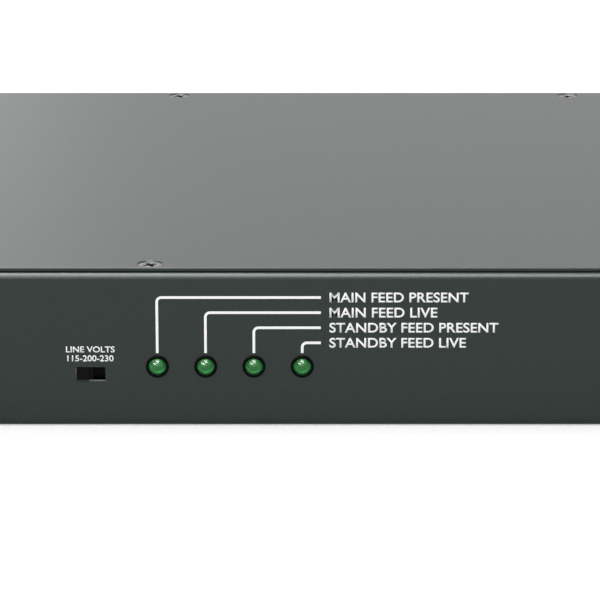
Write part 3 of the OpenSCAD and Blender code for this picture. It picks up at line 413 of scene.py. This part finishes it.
def screw_tree():
    """Countersunk screws with a cross recess, one at each point, along the point's own axis."""
    tree, size = geometry_tree("countersunk_screws", {
        "Head Diameter": HEAD_DIAMETER * MM, "Shank Diameter": 4.0 * MM, "Length": 7.0 * MM,
        "Recess Width": 4.1 * MM, "Recess Depth": 1.6 * MM, "Wing Width": 1.25 * MM, "Edge": 0.12 * MM,
    })
    head = calc(tree, "MULTIPLY", size["Head Diameter"], 0.5)
    shank = calc(tree, "MULTIPLY", size["Shank Diameter"], 0.5)
    cone = calc(tree, "SUBTRACT", head, shank)
    chamfer = calc(tree, "MULTIPLY", size["Edge"], 3.0)
    body = turned(tree, [
        (0.0, calc(tree, "SUBTRACT", head, size["Edge"])),
        (calc(tree, "MULTIPLY", size["Edge"], -1.0), head),
        (calc(tree, "MULTIPLY", cone, -1.0), shank),
        (calc(tree, "SUBTRACT", chamfer, size["Length"]), shank),
        (calc(tree, "MULTIPLY", size["Length"], -1.0), calc(tree, "SUBTRACT", shank, chamfer)),
    ])
    half = math.sqrt(0.5)
    wing = add(tree, "GeometryNodeMeshCone", {
        "Vertices": 4, "Radius Top": half * 1.3, "Radius Bottom": half * 0.45, "Depth": 1.5,
    }, fill_type="NGON").outputs["Mesh"]
    squared = add(tree, "GeometryNodeTransform", {
        "Geometry": wing, "Translation": (0, 0, -1.0), "Rotation": (0, 0, math.radians(45)),
    }).outputs[0]
    shape = add(tree, "ShaderNodeCombineXYZ", {
        "X": size["Recess Width"], "Y": size["Wing Width"], "Z": size["Recess Depth"],
    }).outputs[0]
    cross = add(tree, "GeometryNodeMeshBoolean", {"Mesh 1": body}, operation="DIFFERENCE", solver="EXACT")
    for quarter in (0, 90):
        sized = add(tree, "GeometryNodeTransform", {"Geometry": squared, "Scale": shape}).outputs[0]
        placed = add(tree, "GeometryNodeTransform",
                     {"Geometry": sized, "Rotation": (0, 0, math.radians(quarter))}).outputs[0]
        tree.links.new(placed, cross.inputs["Mesh 2"])
    place = add(tree, "GeometryNodeInputPosition").outputs[0]
    height = add(tree, "ShaderNodeSeparateXYZ", {"Vector": place}).outputs["Z"]
    marked = add(tree, "GeometryNodeStoreNamedAttribute", {
        "Geometry": cross.outputs["Mesh"], "Name": "height", "Value": height,
    }, data_type="FLOAT")
    axis = add(tree, "GeometryNodeInputNamedAttribute", {"Name": "axis"}, data_type="FLOAT_VECTOR")
    aligned = add(tree, "FunctionNodeAlignRotationToVector", {"Vector": axis.outputs[0]}, axis="Z")
    spin = add(tree, "FunctionNodeRandomValue", {2: SCREW_TURN, 3: SCREW_TURN + math.pi, "Seed": 5},
               data_type="FLOAT")
    about = add(tree, "ShaderNodeCombineXYZ", {"Z": spin.outputs[1]})
    spun = add(tree, "FunctionNodeRotateRotation",
               {"Rotation": aligned.outputs[0], "Rotate By": about.outputs[0]}, rotation_space="LOCAL")
    points = add(tree, "GeometryNodeInstanceOnPoints", {
        "Points": size["Geometry"], "Instance": marked.outputs[0], "Rotation": spun.outputs[0],
    })
    real = add(tree, "GeometryNodeRealizeInstances", {"Geometry": points.outputs[0]})
    painted = add(tree, "GeometryNodeSetMaterial",
                  {"Geometry": real.outputs[0], "Material": size["Material"]})
    add(tree, "NodeGroupOutput", {"Geometry": painted.outputs[0]})
    return tree


def points_with_axes(name, places):
    """A mesh of single points, each with the direction that its screw's head faces."""
    mesh = bpy.data.meshes.new(name)
    mesh.from_pydata([p for p, _ in places], [], [])
    axis = mesh.attributes.new("axis", "FLOAT_VECTOR", "POINT")
    for k, (_, direction) in enumerate(places):
        axis.data[k].vector = direction
    return link(bpy.data.objects.new(name, mesh))


def grow(obj, tree, values):
    """Runs a geometry tree on an object, with its inputs set by name."""
    modifier = obj.modifiers.new(tree.name, "NODES")
    modifier.node_group = tree
    for item in tree.interface.items_tree:
        if item.in_out == "INPUT" and item.name in values:
            modifier[item.identifier] = values[item.name]
    return obj


def smooth_by_angle(obj, degrees=35):
    """Smooth shading, with the edges sharper than this angle kept crisp."""
    work = bmesh.new()
    work.from_mesh(obj.data)
    bmesh.ops.remove_doubles(work, verts=work.verts, dist=1e-7)
    bmesh.ops.recalc_face_normals(work, faces=work.faces)
    for face in work.faces:
        face.smooth = True
    for edge in work.edges:
        edge.smooth = len(edge.link_faces) == 2 and edge.calc_face_angle(0) < math.radians(degrees)
    work.to_mesh(obj.data)
    work.free()
    return obj


def head_place(box, direction):
    """The middle of a screw head's face, for a screw whose head faces this way."""
    spot = middle(box)
    for k in range(3):
        if direction[k]:
            spot[k] = box[1][k] if direction[k] > 0 else box[0][k]
    return spot


def outward(box):
    """Sideways, away from the case's middle."""
    return Vector((math.copysign(1, middle(box).x), 0, 0))


SCREW_SETS = {
    "cover_screws": lambda box: Vector((0, 0, 1)),
    "side_screws": outward,
    "ear_screws": outward,
    "inlet_screws": lambda box: Vector((0, 1, 0)),
    "sink_screws": lambda box: Vector((0, 0, -1)),
}
ZINC_SCREWS = ("inlet_screws", "sink_screws")
screws = screw_tree()
for name, facing in SCREW_SETS.items():
    found = shells(name)
    places = [(head_place(b, facing(b)) - facing(b) * SCREW_SUNK * MM, facing(b)) for b in found]
    longest = max((found[0][1] - found[0][0])[k] * abs(places[0][1][k]) for k in range(3))
    piece = grow(points_with_axes(name + "_points", places), screws,
                 {"Material": SCREW_STEEL, "Length": longest - SCREW_SUNK * MM,
                  "Head Diameter": (HEAD_DIAMETER - 2 * SCREW_SUNK) * MM})
    piece = smooth_by_angle(baked(piece, name + "_turned"))
    metal, slot_name = (ZINC, "zinc") if name in ZINC_SCREWS else (SCREW_STEEL, "case_screws")
    finish_piece(piece, metal, replaced=[name])


# ---- Lamps ----

def revolved(name, outline, centre, sides=64):
    """A closed form turned about the front-to-rear axis, from (radius, distance in front) pairs."""
    work = bmesh.new()
    rings = []
    for radius, ahead in outline:
        if radius < 1e-9:
            rings.append([work.verts.new((centre.x, -ahead, centre.z))])
        else:
            rings.append([
                work.verts.new((centre.x + radius * math.cos(2 * math.pi * k / sides), -ahead,
                                centre.z + radius * math.sin(2 * math.pi * k / sides)))
                for k in range(sides)
            ])
    for ring, following in zip(rings, rings[1:]):
        for k in range(sides):
            corners = [ring[k % len(ring)], ring[(k + 1) % len(ring)],
                       following[(k + 1) % len(following)], following[k % len(following)]]
            distinct = list(dict.fromkeys(corners))
            if len(distinct) > 2:
                work.faces.new(distinct)
    bmesh.ops.recalc_face_normals(work, faces=work.faces)
    mesh = bpy.data.meshes.new(name)
    work.to_mesh(mesh)
    work.free()
    return link(bpy.data.objects.new(name, mesh))


def lens_dome(box):
    """The radius of a lamp's dome, and how far in front its middle lies."""
    radius = (box[1].x - box[0].x) / 2 - LENS_FLANGE * MM
    return radius, -box[0].y - radius


def lens_outline(box):
    """Half section of a lamp's lens: dome, straight side, base flange and flat back."""
    radius, dome_at = lens_dome(box)
    rim = (box[1].x - box[0].x) / 2
    back = dome_at - LENS_SIDE * MM
    step = back + FLANGE_THICKNESS * MM
    dome = [(radius * math.cos(a), dome_at + radius * math.sin(a))
            for a in (math.radians(6 * k) for k in range(1, 15))]
    return [(0, back), (rim, back), (rim, step), (radius, step), (radius, dome_at), *dome, (0, -box[0].y)]


def cup_outline(box):
    """Half section of the reflector cup that holds a lamp's chip."""
    rim_at = -box[0].y - CUP_BELOW_TIP * MM
    return [(radius * MM, rim_at - below * MM) for radius, below in CUP_SECTION]


def lip_outline(box, collar):
    """Half section of the ring's inner lip, which closes on the lens's dome."""
    radius, dome_at = lens_dome(box)
    front = -collar[0].y + LIP_PROUD * MM
    back = front - LIP_DEPTH * MM
    inner = [(math.sqrt(radius ** 2 - (ahead - dome_at) ** 2) + LIP_GAP * MM, ahead)
             for ahead in (back, front)]
    outer = radius + LIP_OVERLAP * MM
    return [inner[0], inner[1], (outer, front), (outer, back), inner[0]]


def block(work, low, high):
    """Adds a box between two corners."""
    size = high - low
    made = bmesh.ops.create_cube(work, size=1.0)
    for vert in made["verts"]:
        vert.co = Vector((low[k] + (vert.co[k] + 0.5) * size[k] for k in range(3)))


def lamp_leads(name, box):
    """Two posts from the board: the left one ends in the cup's foot, the right one beside the cup."""
    work = bmesh.new()
    centre = middle(box)
    half = LEAD_WIDTH * MM / 2
    for side, behind_rim in LEAD_FRONTS:
        x = centre.x + side * LEAD_PITCH * MM / 2
        front = box[0].y + (CUP_BELOW_TIP + behind_rim) * MM
        block(work, Vector((x - half, front, centre.z - half)),
              Vector((x + half, box[1].y, centre.z + half)))
    mesh = bpy.data.meshes.new(name)
    bmesh.ops.recalc_face_normals(work, faces=work.faces)
    work.to_mesh(mesh)
    work.free()
    return link(bpy.data.objects.new(name, mesh))


for number in range(1, 5):
    node_name = f"lamp_{number}"
    lamp_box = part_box(node_name)
    lip = lip_outline(lamp_box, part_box(f"lamp_collar_{number}"))
    for name, outline, sides, material, slot_name, replaced in (
        (f"lens_{number}", lens_outline(lamp_box), 64, LENS_GREEN, "green_lens", [node_name]),
        (f"lamp_lip_{number}", lip, 64, RING_BLACK, "black_plastic", []),
        (f"lamp_cup_{number}", cup_outline(lamp_box), 32, TIN, "tinned_brass", []),
    ):
        piece = smooth_by_angle(revolved(name, outline, middle(lamp_box), sides), 40)
        finish_piece(piece, material, replaced=replaced)
    finish_piece(lamp_leads(f"lamp_leads_{number}", lamp_box), TIN)


# ---- Lettering ----

def lettering(name, words, cap, left=None, centre=None, baseline=0.0, stretch=1.0, weight=LABEL_WEIGHT):
    """Printed capitals on the front face, placed from their left end or from their middle."""
    curve = bpy.data.curves.new(name, "FONT")
    curve.body = words
    curve.size = 1.0
    curve.offset = weight
    curve.resolution_u = 6
    piece = baked(link(bpy.data.objects.new(name + "_type", curve)), name)
    xs = [v.co.x for v in piece.data.vertices]
    ys = [v.co.y for v in piece.data.vertices]
    left_end, foot = min(xs), min(ys)
    scale = cap / (max(ys) - foot)
    width = (max(xs) - left_end) * scale * stretch
    start = left if left is not None else centre - width / 2
    face_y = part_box("chassis_tray")[0].y
    for vert in piece.data.vertices:
        x, y = vert.co.x, vert.co.y
        vert.co = Vector((start + (x - left_end) * scale * stretch, face_y,
                          baseline + (y - foot) * scale))
    raise_letters(piece, face_y)
    return finish_piece(piece, INK_WHITE)


def raise_letters(piece, face_y):
    """Turns flat letters into thin solids that stand on the paint."""
    work = bmesh.new()
    work.from_mesh(piece.data)
    bmesh.ops.remove_doubles(work, verts=work.verts, dist=1e-7)
    made = bmesh.ops.extrude_face_region(work, geom=list(work.faces))
    lifted = [v for v in made["geom"] if isinstance(v, bmesh.types.BMVert)]
    for vert in lifted:
        vert.co.y = face_y - INK * MM
    bmesh.ops.recalc_face_normals(work, faces=work.faces)
    work.to_mesh(piece.data)
    work.free()


lines = sorted(shells("panel_print"), key=lambda b: -b[1].z)
for words, box, count in zip(LAMP_LABELS, lines, range(1, 5)):
    line_middle = box[1].z - LINE_WIDTH * MM / 2
    lettering(f"lamp_label_{count}", words, LABEL_CAP * MM, left=box[1].x + LABEL_GAP * MM,
              baseline=line_middle - LABEL_CAP * MM / 2, stretch=LABEL_STRETCH)
selector_middle = middle(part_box("selector_frame"))
for count, (words, rise) in enumerate(zip(SELECTOR_NOTES, NOTE_RISE), 1):
    lettering(f"selector_note_{count}", words, NOTE_CAP * MM, centre=selector_middle.x,
              baseline=selector_middle.z + rise * MM, stretch=LABEL_STRETCH)


# ---- Floor, light and camera ----

def backdrop_floor(height):
    """A wide pale floor, a little brighter to the eye than as a light on the part."""
    mesh = bpy.data.meshes.new("floor")
    reach = 6.0
    mesh.from_pydata([(-reach, -reach, height), (reach, -reach, height), (reach, reach, height),
                      (-reach, reach, height)], [], [(0, 1, 2, 3)])
    floor = link(bpy.data.objects.new("floor", mesh))
    material, tree = new_material("floor_white")
    seen = add(tree, "ShaderNodeLightPath").outputs["Is Camera Ray"]
    surface(tree, Base_Color=linear("#f4f4f3"), Roughness=0.9, Specular_IOR_Level=0.1,
            Emission_Color=(1, 1, 1, 1), Emission_Strength=calc(tree, "MULTIPLY", seen, FLOOR_GLOW))
    mesh.materials.append(material)
    return floor


def softbox(name, place, aim, width, depth, power):
    """A rectangular area lamp that faces a point."""
    lamp = bpy.data.lights.new(name, "AREA")
    lamp.shape = "RECTANGLE"
    lamp.size = width
    lamp.size_y = depth
    lamp.energy = power
    holder = link(bpy.data.objects.new(name, lamp))
    holder.location = place
    holder.rotation_euler = (Vector(aim) - Vector(place)).to_track_quat("-Z", "Y").to_euler()
    return holder


def studio_world():
    """White to the eye and in reflections, weaker as a light on matt surfaces."""
    world = bpy.data.worlds.new("studio")
    world.use_nodes = True
    tree = world.node_tree
    tree.nodes.clear()
    path = add(tree, "ShaderNodeLightPath").outputs
    seen = calc(tree, "MAXIMUM", path["Is Camera Ray"],
                calc(tree, "MAXIMUM", path["Is Glossy Ray"], path["Is Transmission Ray"]))
    strength = add(tree, "ShaderNodeMapRange", {"Value": seen, "To Min": WORLD_ON_MATT, "To Max": 1.0})
    sky = add(tree, "ShaderNodeBackground", {"Color": (1, 1, 1, 1), "Strength": strength.outputs[0]})
    add(tree, "ShaderNodeOutputWorld", {"Surface": sky.outputs[0]})
    bpy.context.scene.world = world


def camera(aim):
    pitch = math.radians(PITCH_DEG)
    distance = VIEW_DISTANCE * MM
    data = bpy.data.cameras.new("camera")
    data.lens = LENS
    data.clip_start = 0.05
    data.clip_end = 50
    eye = link(bpy.data.objects.new("camera", data))
    eye.location = aim + distance * Vector((0, -math.cos(pitch), math.sin(pitch)))
    eye.rotation_euler = (math.pi / 2 - pitch, 0, 0)
    bpy.context.scene.camera = eye


first_lamp = middle(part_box("lamp_1"))
aim_point = Vector((first_lamp.x + AIM_RIGHT_OF_LAMP * MM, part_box("chassis_tray")[0].y,
                    first_lamp.z + AIM_ABOVE_LAMP * MM))
backdrop_floor(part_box("chassis_tray")[0].z)
studio_world()
for name, place, width, depth, power in SOFTBOXES:
    softbox(name, place, SOFTBOX_AIM, width, depth, power)
for name, place, width, depth, power in STRIPS:
    softbox(name, place, STRIP_AIM, width, depth, power).visible_diffuse = False
camera(aim_point)

bpy.context.scene.view_settings.view_transform = "Standard"
